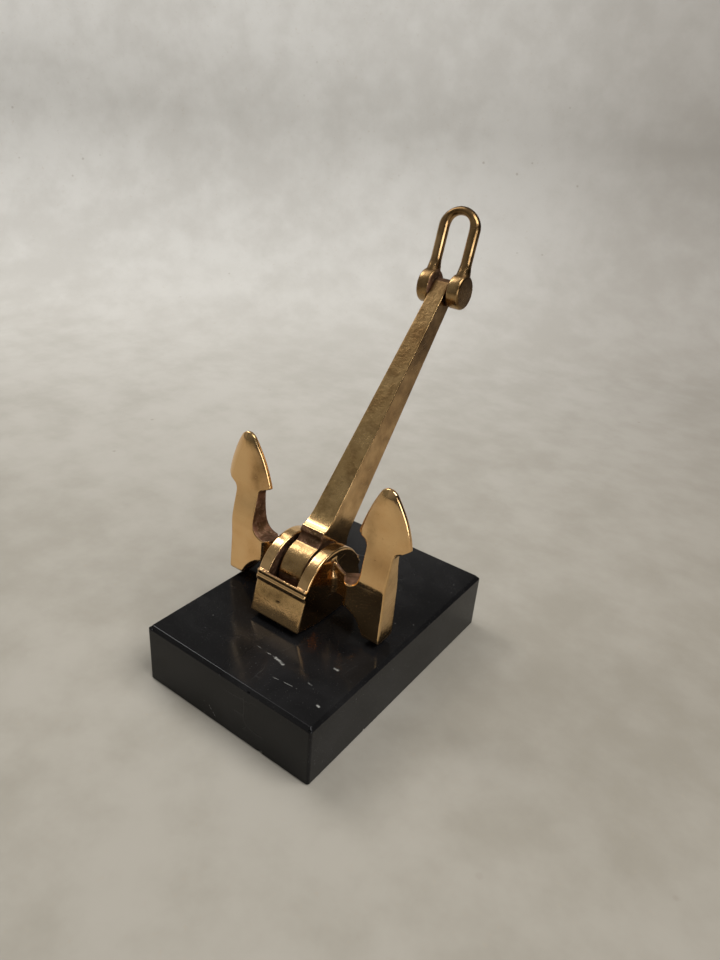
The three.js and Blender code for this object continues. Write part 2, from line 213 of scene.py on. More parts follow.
def makeMarble():
    material, tree = newMaterial("blackMarble")
    plain = objectPlace(tree)
    cloud = noise(tree, plain, 38, 5, 0.6, 0.6)
    warp = addNode(tree, "ShaderNodeTexNoise", None, {"Vector": plain, "Scale": 260.0, "Detail": 3.0}, out=1)
    shift = scaledVector(tree, vectorMaths(tree, "SUBTRACT", warp, (0.5, 0.5, 0.5)), 0.0018)
    bent = vectorMaths(tree, "ADD", plain, shift)

    # fine network that shows only in patches
    stretched = addNode(tree, "ShaderNodeMapping", None,
                        {"Vector": bent, "Rotation": (0.5, 0.3, 0.7), "Scale": (1.0, 0.42, 1.0)})
    net = addNode(tree, "ShaderNodeTexVoronoi", {"feature": "DISTANCE_TO_EDGE"},
                  {"Vector": stretched, "Scale": 95.0})
    patch = noise(tree, plain, 62, 2, 0.5, 0.3)
    network = (1 - net.rise(0.002, 0.018)) * patch.rise(0.56, 0.72) * 0.05

    specks = addNode(tree, "ShaderNodeTexVoronoi", {"feature": "F1"}, {"Vector": bent, "Scale": 480.0})
    speckSize = noise(tree, plain, 330, 2, 0.5)
    speck = (1 - specks.rise(0.04, 0.12)) * speckSize.rise(0.60, 0.72) * 0.4
    dust = noise(tree, plain, 3400, 2, 0.5).rise(0.68, 0.76) * 0.22

    pale = network.high(speck).high(dust)
    grain = noise(tree, plain, 1300, 3, 0.6)
    for start, end, half in marbleLook["veins"]:
        run = tuple((e - s) * mm for s, e in zip(start, end))
        length = math.sqrt(sum(v * v for v in run))
        fromStart = vectorMaths(tree, "SUBTRACT", bent, tuple(v * mm for v in start))
        perLength = tuple(v / length ** 2 for v in run)
        along = vectorMaths(tree, "DOT_PRODUCT", fromStart, perLength, out=1).clamped()
        gapTo = vectorMaths(tree, "DISTANCE", fromStart, scaledVector(tree, run, along), out=1)
        vein = (1 - (gapTo / (half * mm)).rise(0.35, 1.5)) * (0.30 + grain.rise(0.4, 0.62)) * 0.62
        pale = pale.high(vein)
    pale = pale.clamped()

    colour = mixColour(tree, cloud.rise(0.4, 0.75), marbleLook["stone"], marbleLook["cloud"])
    colour = mixColour(tree, pale, colour, marbleLook["vein"])
    smudge = noise(tree, plain, 70, 4, 0.6, 0.8)
    rough = marbleLook["roughness"] + smudge.rise(0.42, 0.7) * 0.06 + pale * 0.25 + dust * 0.5
    relief = (smudge - 0.5) * 0.10 - pale * 0.25
    bump = addNode(tree, "ShaderNodeBump", None, {"Strength": 0.25, "Distance": 0.0001, "Height": relief})
    finishSurface(tree, {"Base Color": colour, "Roughness": rough, "IOR": 1.25, "Normal": bump})
    return material


def makeSteel():
    material, tree = newMaterial("turnedSteel")
    plain = objectPlace(tree)
    ring = noise(tree, objectPlace(tree, (1, 1, 6)), 900, 3, 0.6)
    stain = noise(tree, plain, 160, 4, 0.6)
    colour = mixColour(tree, stain.rise(0.45, 0.7), (0.52, 0.51, 0.49, 1), (0.33, 0.30, 0.26, 1))
    rough = 0.3 + ring * 0.15 + stain.rise(0.5, 0.8) * 0.2
    bump = addNode(tree, "ShaderNodeBump", None, {"Strength": 0.4, "Distance": 0.00005, "Height": ring})
    finishSurface(tree, {"Base Color": colour, "Roughness": rough, "Metallic": 1.0, "Normal": bump})
    return material


studio = {
    "heading": 34.14, "left": -1.0, "right": 0.33, "front": -0.75,
    "bend": 0.29, "bendRadius": 0.16, "wallTop": 0.32,
    "worldDark": (0.030, 0.029, 0.028), "worldLit": (0.24, 0.235, 0.22), "litFrom": (-0.62, -0.30, 0.72),
    # nearTone and farTone: the near floor is painted darker and the back of the sweep lighter, painted shade
    # and painted light
    "nearTone": ((0.325, 0.298, 0.248, 1), (0.395, 0.366, 0.315, 1)), "toneReach": (-0.08, 0.62),
    "sideShade": (-0.02, 0.30, 0.44),
    # the table's radius and how far it lies below the floor
    "tableSize": (3, 0.003), "table": ((0.15, 0.135, 0.12, 1), (0.20, 0.18, 0.16, 1)),
    "farTone": ((0.52, 0.505, 0.475, 1), (0.60, 0.588, 0.56, 1)),
    # name: (place, aimed at, width, height, watts, colour)
    "lights": {
        "overhead": ((-0.52, 0.11, 0.86), (0, 0, 0.04), 0.56, 0.46, 1.7, (1.0, 0.985, 0.96)),
        "ceiling": ((0.75, 0.10, 1.25), (0, 0.1, 0.0), 0.9, 0.9, 16.0, (1.0, 0.99, 0.97)),
        "sweepWash": ((-0.72, 0.05, 0.72), (-0.50, 0.42, 0.22), 0.5, 0.3, 3.6, (1.0, 1.0, 1.0)),
        "window": ((0.86, -0.30, 0.17), (0, 0, 0.06), 0.62, 0.34, 2.2, (1.0, 0.99, 0.97)),
    },
}


def makeFloorPaper():
    material, tree = newMaterial("paleFloor")
    plain = objectPlace(tree)
    broad = noise(tree, plain, 6, 3, 0.5)
    mottle = noise(tree, plain, 45, 4, 0.6)
    grain = noise(tree, plain, 420, 3, 0.6)
    turn = math.radians(studio["heading"])
    ahead = vectorMaths(tree, "DOT_PRODUCT", plain, (-math.sin(turn), math.cos(turn), 0.7), out=1)
    patchy = (broad * 0.5 + mottle * 0.5).rise(0.36, 0.64)
    nearTone = mixColour(tree, patchy, studio["nearTone"][0], studio["nearTone"][1])
    farTone = mixColour(tree, patchy, studio["farTone"][0], studio["farTone"][1])
    # painted light and shade: darker near, lighter towards the back of the sweep
    colour = mixColour(tree, ahead.rise(*studio["toneReach"]), nearTone, farTone)
    across = vectorMaths(tree, "DOT_PRODUCT", plain, (math.cos(turn), math.sin(turn), 0), out=1)
    shadeFrom, shadeTo, shadeMost = studio["sideShade"]
    colour = mixColour(tree, across.rise(shadeFrom, shadeTo) * shadeMost, colour, (0.12, 0.09, 0.06, 1))
    colour = mixColour(tree, grain.rise(0.60, 0.8) * 0.3, colour, (0.40, 0.33, 0.25, 1))
    spots = addNode(tree, "ShaderNodeTexVoronoi", {"feature": "F1"}, {"Vector": plain, "Scale": 55.0})
    spot = (1 - spots.rise(0.03, 0.07)) * broad.rise(0.5, 0.62) * 0.45
    colour = mixColour(tree, spot, colour, (0.22, 0.18, 0.14, 1))
    bump = addNode(tree, "ShaderNodeBump", None, {"Strength": 0.15, "Distance": 0.001, "Height": mottle})
    finishSurface(tree, {"Base Color": colour, "Roughness": 0.75, "Normal": bump})
    return material


def makeTable():
    material, tree = newMaterial("table")
    grain = noise(tree, objectPlace(tree), 30, 3, 0.5)
    colour = mixColour(tree, grain, *studio["table"])
    finishSurface(tree, {"Base Color": colour, "Roughness": 0.8})
    return material


polishedBrass = makeBrass("polishedBrass", brassLook)
dullLook = dict(brassLook, polished=(0.40, 0.24, 0.10, 1), warm=(0.30, 0.17, 0.08, 1), polishedRoughness=0.4)
dullBrass = makeBrass("dullBrass", dullLook)
blackMarble = makeMarble()
turnedSteel = makeSteel()
print("materials made")


# Castings as smooth solids: a field that is negative inside, and a skin wrapped round it

def clampArray(values, low=0.0, high=1.0):
    return np.minimum(np.maximum(values, low), high)


def blendIn(first, second, reach):
    # smooth union of two fields
    share = clampArray(0.5 + 0.5 * (second - first) / reach)
    return second + (first - second) * share - reach * share * (1 - share)


def blendCut(first, second, reach):
    # smooth intersection of two fields
    return -blendIn(-first, -second, reach)


def smoothStep(values, start, end):
    share = clampArray((values - start) / (end - start))
    return share * share * (3 - 2 * share)


def boxField(x, y, z, low, high):
    parts = [np.maximum(l - v, v - h) for v, l, h in zip((x, y, z), low, high)]
    return np.maximum(np.maximum(parts[0], parts[1]), parts[2])


def curvePoints(start, control, end, steps=10):
    share = np.linspace(0, 1, steps + 1)[:, None]
    start, control, end = (np.array(p, float) for p in (start, control, end))
    return list(map(tuple, (1 - share) ** 2 * start + 2 * share * (1 - share) * control + share ** 2 * end))


def bezierPoints(a, b, c, d, steps=12):
    t = np.linspace(0, 1, steps + 1)[:, None]
    rest = 1 - t
    a, b, c, d = (np.array(p, float) for p in (a, b, c, d))
    return list(map(tuple, rest ** 3 * a + 3 * t * rest ** 2 * b + 3 * t * t * rest * c + t ** 3 * d))


class OutlineTable:
    # distance to a closed outline, kept on a fine grid and read back by position
    def __init__(self, outline, low, high, soften, step=0.1):
        self.low, self.step = low, step
        across = np.arange(low[0], high[0] + step, step)
        up = np.arange(low[1], high[1] + step, step)
        px, pz = np.meshgrid(across, up, indexing="ij")
        nearest = np.full(px.shape, 1e9)
        inside = np.zeros(px.shape, bool)
        for (ax, az), (bx, bz) in zip(outline, outline[1:] + outline[:1]):
            ex, ez = bx - ax, bz - az
            if ex * ex + ez * ez < 1e-12:
                continue
            share = clampArray(((px - ax) * ex + (pz - az) * ez) / (ex * ex + ez * ez))
            nearest = np.minimum(nearest, (px - ax - share * ex) ** 2 + (pz - az - share * ez) ** 2)
            if ez != 0:
                inside ^= ((az > pz) != (bz > pz)) & (px < ax + (pz - az) * ex / ez)
        table = np.sqrt(nearest) * np.where(inside, -1, 1)
        # three soften widths hold all of the kernel
        reach = int(3 * soften / step)
        kernel = np.exp(-0.5 * (np.arange(-reach, reach + 1) * step / soften) ** 2)
        kernel /= kernel.sum()
        for axis in (0, 1):
            pad = [(reach, reach) if k == axis else (0, 0) for k in (0, 1)]
            wide = np.pad(table, pad, mode="reflect", reflect_type="odd")
            size = table.shape[axis]
            table = sum(k * np.take(wide, range(i, i + size), axis=axis) for i, k in enumerate(kernel))
        self.table = table

    def read(self, across, up):
        u = clampArray((across - self.low[0]) / self.step, 0, self.table.shape[0] - 1.001)
        v = clampArray((up - self.low[1]) / self.step, 0, self.table.shape[1] - 1.001)
        i, j = u.astype(int), v.astype(int)
        u, v = u - i, v - j
        t = self.table
        return ((1 - u) * ((1 - v) * t[i, j] + v * t[i, j + 1])
                + u * ((1 - v) * t[i + 1, j] + v * t[i + 1, j + 1]))


def fieldSlope(field, points, reach=0.04):
    slope = np.zeros_like(points)
    for axis in range(3):
        step = np.zeros(3)
        step[axis] = reach
        slope[:, axis] = (field(*(points + step).T) - field(*(points - step).T)) / (2 * reach)
    return slope


def wrapSkin(field, low, high, step):
    # a quad skin through the cells that the surface crosses, pulled onto the surface
    axes = [np.arange(l, h + step, step) for l, h in zip(low, high)]
    values = field(axes[0][:, None, None], axes[1][None, :, None], axes[2][None, None, :])
    cells = np.array(values.shape) - 1
    total = np.zeros((cells.prod(), 3))
    count = np.zeros(cells.prod())
    edges = []
    for axis in range(3):
        near = np.take(values, range(0, values.shape[axis] - 1), axis=axis)
        far = np.take(values, range(1, values.shape[axis]), axis=axis)
        place = np.argwhere((near < 0) != (far < 0))
        a, b = near[tuple(place.T)], far[tuple(place.T)]
        point = place.astype(float)
        point[:, axis] += a / (a - b)
        others = [k for k in range(3) if k != axis]
        ids, fits = [], np.ones(len(place), bool)
        for back in ((1, 1), (0, 1), (0, 0), (1, 0)):
            cell = place.copy()
            cell[:, others[0]] -= back[0]
            cell[:, others[1]] -= back[1]
            good = ((cell >= 0) & (cell < cells)).all(1)
            fits &= good
            flat = (cell[:, 0] * cells[1] + cell[:, 1]) * cells[2] + cell[:, 2]
            np.add.at(total, flat[good], point[good])
            np.add.at(count, flat[good], 1)
            ids.append(flat)
        quads = np.stack(ids, 1)[fits]
        flip = (a >= 0)[fits] if axis != 1 else (a < 0)[fits]
        quads[flip] = quads[flip][:, ::-1]
        edges.append(quads)
    used = np.nonzero(count)[0]
    newIndex = np.full(len(count), -1)
    newIndex[used] = np.arange(len(used))
    points = total[used] / count[used, None] * step + np.array(low, float)
    for _ in range(4):
        slope = fieldSlope(field, points)
        value = field(*points.T)
        move = slope * (value / np.maximum((slope ** 2).sum(1), 0.05))[:, None]
        size = np.sqrt((move ** 2).sum(1))
        points = points - move * np.minimum(1, 0.5 * step / np.maximum(size, 1e-9))[:, None]
    return points, newIndex[np.concatenate(edges)]


def meshPiece(name, points, faces, material, smooth=True):
    mesh = bpy.data.meshes.new(name)
    mesh.from_pydata(np.asarray(points).tolist(), [], [[int(i) for i in face] for face in faces])
    mesh.materials.append(material)
    mesh.polygons.foreach_set("use_smooth", [smooth] * len(mesh.polygons))
    mesh.update()
    piece = bpy.data.objects.new(name, mesh)
    bpy.context.scene.collection.objects.link(piece)
    return piece


def paintPoints(piece, name, values):
    layer = piece.data.attributes.new(name, "FLOAT", "POINT")
    layer.data.foreach_set("value", clampArray(values).astype(np.float32))


# Anchor head: crown, arms and palms in one casting, in millimetres; x and y from its middle, z from the table

headSizes = {
    "skinStep": 0.31, "skinLow": (-35.2, -17, 19.4), "skinHigh": (35.2, 17, 71.3),
    "halfWidth": 9.3, "archRadius": 13.55, "archHeight": 29.6, "archStart": 0.4427,
    "plateHalf": 3.6, "plateEdge": 0.5, "armRound": 0.55, "rollWidth": 3.0, "rollPower": 1.7,
    # how far each face of the arms and palms leaves its plane, and between which heights
    "frontLean": 2.75, "frontSpan": (38.5, 54), "backLean": 0.75, "backSpan": (38, 48),
    "toeOut": 0.8, "toeSpan": (21, 36), "tipBack": 0.5, "tipSpan": (60, 70),
    # how softly the bodies meet
    "crownRound": 0.7, "plateRound": 0.25, "junction": 2.4, "notchJunction": 0.7, "junctionSpan": (34.5, 37),
    "cutRound": 0.45,
    # the drum's slot, the crown pin's seat, the keeper's recess and the screws' holes
    "slotHalf": 5.4, "slotUpper": 12.4, "slotLower": 10.4, "slotStep": 29.0,
    "seatHalf": 7.8, "seatRadius": 3.1, "recessTop": 22.9,
    "screwAt": 12.5, "screwRadius": 1.55, "screwTop": 28,
}


def crownSideOutline():
    radius, height, start = (headSizes[k] for k in ("archRadius", "archHeight", "archStart"))
    turns = np.linspace(start, math.pi - start, 48)
    arch = [(radius * math.cos(t), height + radius * math.sin(t)) for t in turns]
    half = [(6, 20.3), (15.9, 22.2), (13.15, 31.9), (13.6, 32.0), (13.55, 33.7), (13.1, 33.8), (13.2, 35.4)]
    return half + arch + [(-y, z) for y, z in reversed(half)]


def palmTop():
    outer = curvePoints((34, 53.8), (32.7, 61.6), (27.9, 68.9))
    tip = curvePoints((27.9, 68.9), (25.6, 71.1), (23.2, 68.9))
    inner = curvePoints((23.2, 68.9), (18.8, 61.5), (16.7, 53.4))
    return outer + tip + inner


def armAndPalmOutline():
    outline = [(6.5, 29.6)] + bezierPoints((16, 29.4), (21.8, 28.6), (23.6, 22.2), (25, 20.3))
    outline += [(27.4, 20.3)] + curvePoints((27.4, 20.3), (29.5, 20.3), (29.5, 23.5)) + [(29.5, 49.2)]
    outline += curvePoints((29.5, 49.2), (29.6, 51.1), (31.2, 51.9)) + palmTop() + [(19, 52.6)]
    outline += curvePoints((19, 52.6), (20.5, 51.9), (20.5, 50))
    outline += curvePoints((20.6, 42.2), (20.4, 37.1), (15.8, 37))
    return outline + curvePoints((15.8, 37), (12.6, 37), (9.3, 40.4)) + [(6.5, 40.4)]


crownTable = OutlineTable(crownSideOutline(), (-18, 17), (18, 46), 0.08)
plateTable = OutlineTable(armAndPalmOutline(), (3, 17), (37, 73), 0.12)
palmReach = palmTop() + [(13.6, 41), (13.6, 20), (38.4, 20), (38.4, 41)]
rollTable = OutlineTable(palmReach, (3, 17), (37, 73), 0.55)


def plateField(x, y, z):
    s = headSizes
    side = np.abs(x)
    edge = plateTable.read(side, z)
    # the front face leans back above the notch, and the toe stands a little forward
    front = -s["plateHalf"] + s["frontLean"] * smoothStep(z, *s["frontSpan"])
    front = front - s["toeOut"] * (1 - smoothStep(z, *s["toeSpan"]))
    back = s["plateHalf"] - s["backLean"] * smoothStep(z, *s["backSpan"])
    middle = (front + back) / 2 - s["tipBack"] * smoothStep(z, *s["tipSpan"])
    plateHalf = (back - front) / 2
    deep = clampArray(edge + s["armRound"], 0, s["armRound"])
    armHalf = plateHalf - s["armRound"] + np.sqrt(s["armRound"] ** 2 - deep ** 2)
    share = 1 - clampArray(-rollTable.read(side, z) / s["rollWidth"])
    rise = plateHalf - s["plateEdge"]
    palmHalf = plateHalf - rise * share ** s["rollPower"]
    lean = rise * s["rollPower"] * share ** (s["rollPower"] - 1) / s["rollWidth"]
    faces = (np.abs(y - middle) - np.minimum(armHalf, palmHalf)) / np.sqrt(1 + lean ** 2)
    return blendCut(faces, edge, s["plateRound"])


def headField(x, y, z):
    s = headSizes
    side = np.abs(x)
    crown = blendCut(crownTable.read(y, z), side - s["halfWidth"], s["crownRound"])
    reach = s["junction"] + (s["notchJunction"] - s["junction"]) * smoothStep(z, *s["junctionSpan"])
    body = blendIn(crown, plateField(x, y, z), reach)
    aboveAll = 60
    half, upper, lower, step = s["slotHalf"], s["slotUpper"], s["slotLower"], s["slotStep"]
    slotTop = boxField(x, y, z, (-half, -upper, step), (half, upper, aboveAll))
    slotLow = boxField(x, y, z, (-half, -lower, 0), (half, lower, step + 1))
    aboveSeat = z - anchorPlace["pinHeight"]
    fromSeat = np.where(aboveSeat > 0, np.sqrt(y ** 2 + aboveSeat ** 2), np.abs(y))
    pin = np.maximum(side - s["seatHalf"], fromSeat - s["seatRadius"])
    recess = boxField(x, y, z, (-s["seatHalf"], -lower, 0), (s["seatHalf"], lower, s["recessTop"]))
    fromScrew = np.sqrt(x ** 2 + (np.abs(y) - s["screwAt"]) ** 2)
    screws = np.maximum(fromScrew - s["screwRadius"], z - s["screwTop"])
    hollow = np.minimum(np.minimum(slotTop, slotLow), np.minimum(np.minimum(pin, recess), screws))
    return blendCut(body, -hollow, s["cutRound"])


def makeHead():
    s = headSizes
    points, faces = wrapSkin(headField, s["skinLow"], s["skinHigh"], s["skinStep"])
    slope = fieldSlope(headField, points)
    normal = slope / np.maximum(np.sqrt((slope ** 2).sum(1)), 1e-9)[:, None]
    x, y, z = points.T
    side = np.abs(x)
    # how enclosed each point is, read from the field a little way out along the normal; it becomes painted
    # shade, with tarnish, in hollows and joints
    hollowness = 1 - clampArray(headField(*(points + normal * 1.4).T) / 1.4)
    near = 1 - clampArray(headField(*(points + normal * 0.5).T) / 0.5)
    inNotch = smoothStep(side, 9.9, 10.6) * (1 - smoothStep(side, 20.9, 21.4)) * smoothStep(z, 35.4, 36.4)
    inNotch = inNotch * (1 - smoothStep(z, 53.2, 54)) * (1 - smoothStep(np.abs(normal[:, 1]), 0.45, 0.75))
    under = smoothStep(-normal[:, 2], 0.3, 0.7) * (z < 33)
    slotWall = (side < 5.9) * (np.abs(y) < 12.8) * smoothStep(-np.abs(normal[:, 2]), -0.5, -0.1) * (z < 46)
    ledge = smoothStep(np.abs(y), 11.6, 12.2) * (z > 34.6) * (z < 36.6)
    ledge = ledge * smoothStep(normal[:, 2], 0.6, 0.9) * 0.55
    raw = np.maximum(np.maximum(inNotch, under), np.maximum(slotWall, ledge))
    outerSide = smoothStep(side, 28.6, 29.2) * smoothStep(np.abs(normal[:, 0]), 0.6, 0.9) * (z < 52) * 0.45
    blockFace = smoothStep(np.abs(normal[:, 1]), 0.8, 0.9) * (z < 31.6) * (side < 9.2) * (np.abs(y) > 12.5)
    blockFace = blockFace * (0.15 + 0.5 * smoothStep(z, 25, 30))
    archFront = (side < 9.6) * smoothStep(z, 36, 38) * (side > 5.2)
    archFront = archFront * smoothStep(normal[:, 2], 0.1, 0.3) * 0.25
    tip = smoothStep(z, 64, 69) * (side < 25.5) * 0.5
    streak = np.exp(-((x + 1.0) / 4.2) ** 2 - ((z - 29.3) / 2.3) ** 2) * (np.abs(y) > 12.5)
    barbStain = np.exp(-((side - 21.5) / 2.2) ** 2 - ((z - 56) / 8.0) ** 2)
    barbStain = barbStain * smoothStep(np.abs(normal[:, 1]), 0.3, 0.8)
    drumCheek = (side < 9.6) * smoothStep(z, 37, 39) * smoothStep(np.abs(y), 3.0, 9.0) * 0.30
    brown = streak * 0.62 + barbStain * 0.35 + tip * 0.5 + drumCheek * 0.8
    standing = points + [anchorPlace["x"], anchorPlace["y"], 0]
    head = meshPiece("anchorHead", standing * mm, faces, polishedBrass)
    paintPoints(head, "rawCast", raw)
    paintPoints(head, "dullAndShade", outerSide + blockFace + archFront + tip)
    # crevice paint: painted shade, with tarnish, in hollows and joints
    paintPoints(head, "crevice", hollowness * 0.7 + near * 0.6 - 0.15)
    paintPoints(head, "brownAndShade", brown)
    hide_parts("anchor_head")
    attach(head, "stand")
    print("anchor head:", len(points), "points")


makeHead()


# Swept castings: a rail with sizes at its points, and a rounded section carried along it

def sweptCastingTree():
    tree = bpy.data.node_groups.new("sweptCasting", "GeometryNodeTree")
    tree.interface.new_socket("Geometry", in_out="INPUT", socket_type="NodeSocketGeometry")
    steps = tree.interface.new_socket("Corner steps", in_out="INPUT", socket_type="NodeSocketInt")
    steps.default_value = 6
    metal = tree.interface.new_socket("Metal", in_out="INPUT", socket_type="NodeSocketMaterial")
    tree.interface.new_socket("Geometry", in_out="OUTPUT", socket_type="NodeSocketGeometry")
    given = tree.nodes.new("NodeGroupInput")
    result = tree.nodes.new("NodeGroupOutput")
    cornerSteps = Wire(tree, given.outputs["Corner steps"])
    perCorner = cornerSteps + 2

    rail = addNode(tree, "GeometryNodeMeshToCurve", None, {"Mesh": Wire(tree, given.outputs["Geometry"])})
    railPlace = tree.nodes.new("GeometryNodeCaptureAttribute")
    railPlace.capture_items.new("VECTOR", "place")
    plug(tree, railPlace.inputs[0], rail)
    plug(tree, railPlace.inputs[1], addNode(tree, "GeometryNodeInputPosition"))

    ring = addNode(tree, "GeometryNodeCurvePrimitiveCircle", {"mode": "RADIUS"},
                   {"Resolution": perCorner * 4, "Radius": 1.0})
    ringIndex = tree.nodes.new("GeometryNodeCaptureAttribute")
    ringIndex.capture_items.new("FLOAT", "index")
    plug(tree, ringIndex.inputs[0], ring)
    plug(tree, ringIndex.inputs[1], addNode(tree, "GeometryNodeInputIndex"))

    swept = addNode(tree, "GeometryNodeCurveToMesh", None,
                    {"Curve": Wire(tree, railPlace.outputs[0]),
                     "Profile Curve": Wire(tree, ringIndex.outputs[0]), "Fill Caps": True})
    index = Wire(tree, ringIndex.outputs[1])
    corner = (index / perCorner).maths("FLOOR")
    step = index - corner * perCorner
    share = ((step - 1) / (cornerSteps - 1)).clamped()
    angle = (corner + share) * (math.pi / 2)
    middle = (corner + 0.5) * (math.pi / 2)
    signA, signB = middle.maths("COSINE").maths("SIGN"), middle.maths("SINE").maths("SIGN")

    def stored(name, kind):
        return addNode(tree, "GeometryNodeInputNamedAttribute", {"data_type": kind}, {"Name": name})

    halfA, halfB, rounding = (stored(name, "FLOAT") for name in ("halfSide", "halfDeep", "rounding"))
    sideVector, deepVector = (stored(name, "FLOAT_VECTOR") for name in ("sideWay", "deepWay"))
    roundA, roundB = rounding.low(halfA), rounding.low(halfB)
    first = step.maths("LESS_THAN", 0.5)
    last = step.maths("GREATER_THAN", perCorner - 1.5)
    supportA = ((halfA - roundA) * 0.5).low(0.0003)
    supportB = ((halfB - roundB) * 0.5).low(0.0003)
    cosine, sine = angle.maths("COSINE"), angle.maths("SINE")
    # a support point lies a little way along the flat, so that the flat shades flat
    shift = last - first
    sideways = signA * (halfA - roundA) + roundA * cosine - sine * shift * supportA
    inwards = signB * (halfB - roundB) + roundB * sine + cosine * shift * supportB

    offset = vectorMaths(tree, "ADD", scaledVector(tree, sideVector, sideways),
                         scaledVector(tree, deepVector, inwards))
    place = vectorMaths(tree, "ADD", Wire(tree, railPlace.outputs[1]), offset)
    shaped = addNode(tree, "GeometryNodeSetPosition", None, {"Geometry": swept, "Position": place})
    welded = addNode(tree, "GeometryNodeMergeByDistance", None, {"Geometry": shaped, "Distance": 0.000004})
    real = addNode(tree, "GeometryNodeRealizeInstances", None, {"Geometry": welded})
    finished = addNode(tree, "GeometryNodeSetMaterial", None,
                       {"Geometry": real, "Material": Wire(tree, given.outputs["Metal"])})
    plug(tree, result.inputs[0], finished)
    return tree, {"steps": steps.identifier, "metal": metal.identifier}


castingTree, castingInputs = sweptCastingTree()


def sweepCasting(name, stations, material, cornerSteps=7):
    # stations: (place, sideWay, deepWay, halfSide, halfDeep, rounding), in metres
    mesh = bpy.data.meshes.new(name + "Rail")
    mesh.from_pydata([s[0] for s in stations], [(i, i + 1) for i in range(len(stations) - 1)], [])
    for index, label in ((1, "sideWay"), (2, "deepWay")):
        layer = mesh.attributes.new(label, "FLOAT_VECTOR", "POINT")
        layer.data.foreach_set("vector", np.array([s[index] for s in stations], np.float32).ravel())
    for index, label in ((3, "halfSide"), (4, "halfDeep"), (5, "rounding")):
        layer = mesh.attributes.new(label, "FLOAT", "POINT")
        layer.data.foreach_set("value", np.array([s[index] for s in stations], np.float32))
    rail = bpy.data.objects.new(name + "Rail", mesh)
    bpy.context.scene.collection.objects.link(rail)
    modifier = rail.modifiers.new("casting", "NODES")
    modifier.node_group = castingTree
    modifier[castingInputs["steps"]] = cornerSteps
    modifier[castingInputs["metal"]] = material
    bpy.context.view_layer.update()
    shaped = bpy.data.meshes.new_from_object(rail.evaluated_get(bpy.context.evaluated_depsgraph_get()))
    bpy.data.objects.remove(rail)
    faces = [tuple(p.vertices) for p in shaped.polygons]
    points = np.zeros(len(shaped.vertices) * 3)
    shaped.vertices.foreach_get("co", points)
    points = points.reshape(-1, 3)
    volume = 0.0
    for face in faces:
        a = points[face[0]]
        for k in range(1, len(face) - 1):
            volume += np.dot(a, np.cross(points[face[k]], points[face[k + 1]]))
    if volume < 0:
        faces = [f[::-1] for f in faces]
    bpy.data.meshes.remove(shaped)
    return points, faces


def joined(parts):
    points, faces, start = [], [], 0
    for part, sides in parts:
        points.append(part)
        faces += [tuple(i + start for i in f) for f in sides]
        start += len(part)
    return np.concatenate(points), faces


def creased(piece, degrees=38):
    # sharp edges stay sharp, the rest shades smoothly
    mesh = piece.data
    normals = [p.normal.copy() for p in mesh.polygons]
    sides = {}
    for polygon in mesh.polygons:
        for key in polygon.edge_keys:
            sides.setdefault(key, []).append(polygon.index)
    limit = math.cos(math.radians(degrees))
    for edge in mesh.edges:
        pair = sides.get(tuple(sorted(edge.vertices)), [])
        edge.use_edge_sharp = len(pair) == 2 and normals[pair[0]].dot(normals[pair[1]]) < limit


# Shank: a tapering bar with a lip and a drum at its foot, measured along it from the crown pin

shankSizes = {
    "length": 97.0, "footHalf": 4.1, "footAt": 14.0, "tipHalf": 2.7, "tipShift": 0.8,
    "footDeep": 5.85, "tipDeep": 3.0,
    "lipDeep": 7.9, "lipFrom": 9.5, "lipTo": 11.2, "neckDeep": 6.9, "neckAt": 9.0, "drum": 9.5, "edge": 0.38,
}

lean = math.radians(anchorPlace["shankLean"])
pinPlace = np.array([anchorPlace["x"], anchorPlace["y"], anchorPlace["pinHeight"]])
shankWay = np.array([0, math.sin(lean), math.cos(lean)])
shankDeep = np.array([0, math.cos(lean), -math.sin(lean)])
sideWay = np.array([1.0, 0, 0])


def roundCorners(points, radius, steps=4):
    # each inner corner of an open line becomes a small arc
    result = [points[0]]
    for before, corner, after in zip(points, points[1:], points[2:]):
        before, corner, after = (np.array(p, float) for p in (before, corner, after))
        into, out = before - corner, after - corner
        cut = min(radius, np.linalg.norm(into) / 2, np.linalg.norm(out) / 2)
        start = corner + into / np.linalg.norm(into) * cut
        end = corner + out / np.linalg.norm(out) * cut
        result += curvePoints(start, corner, end, steps)
    return result + [points[-1]]


